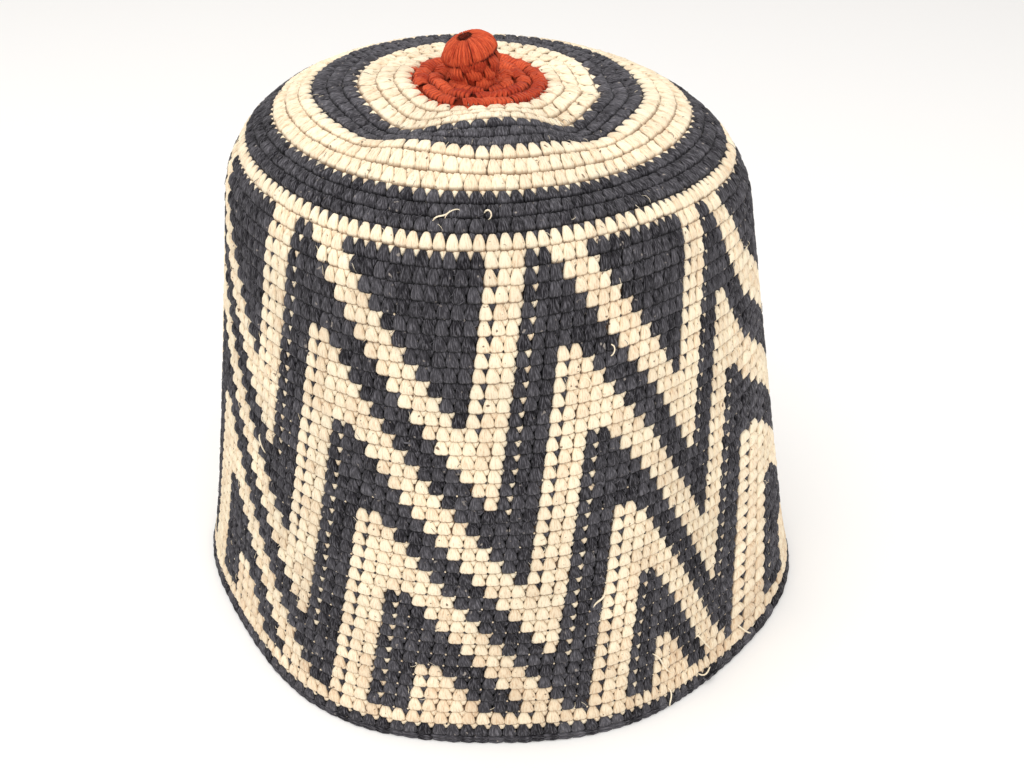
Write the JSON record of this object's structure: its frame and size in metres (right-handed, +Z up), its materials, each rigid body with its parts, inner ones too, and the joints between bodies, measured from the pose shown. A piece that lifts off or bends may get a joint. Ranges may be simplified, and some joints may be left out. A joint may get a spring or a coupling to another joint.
{
  "type": "prestige hat",
  "caption": "Tall crocheted prestige hat with a wrapped knob, a dented ringed top and a zigzag patterned wall, hollow and open at the hem.",
  "frame": {"origin": "under the middle of the hat, on the surface that the hem stands on", "axes": "+Z up from the hem to the knob, -Y the front that the picture shows, +X to the right seen from the front"},
  "size_m": [0.207, 0.1748, 0.1865],
  "materials": {
    "coral_yarn": "matte twisted cotton yarn",
    "cream_yarn": "matte twisted cotton yarn",
    "charcoal_yarn": "matte twisted cotton yarn"
  },
  "bodies": {
    "root": {"knob": "coral_yarn", "rosette": "coral_yarn", "crown": "cream_yarn", "side_wall": "cream_yarn", "hem_edging": "charcoal_yarn"}
  },
  "joints": []
}
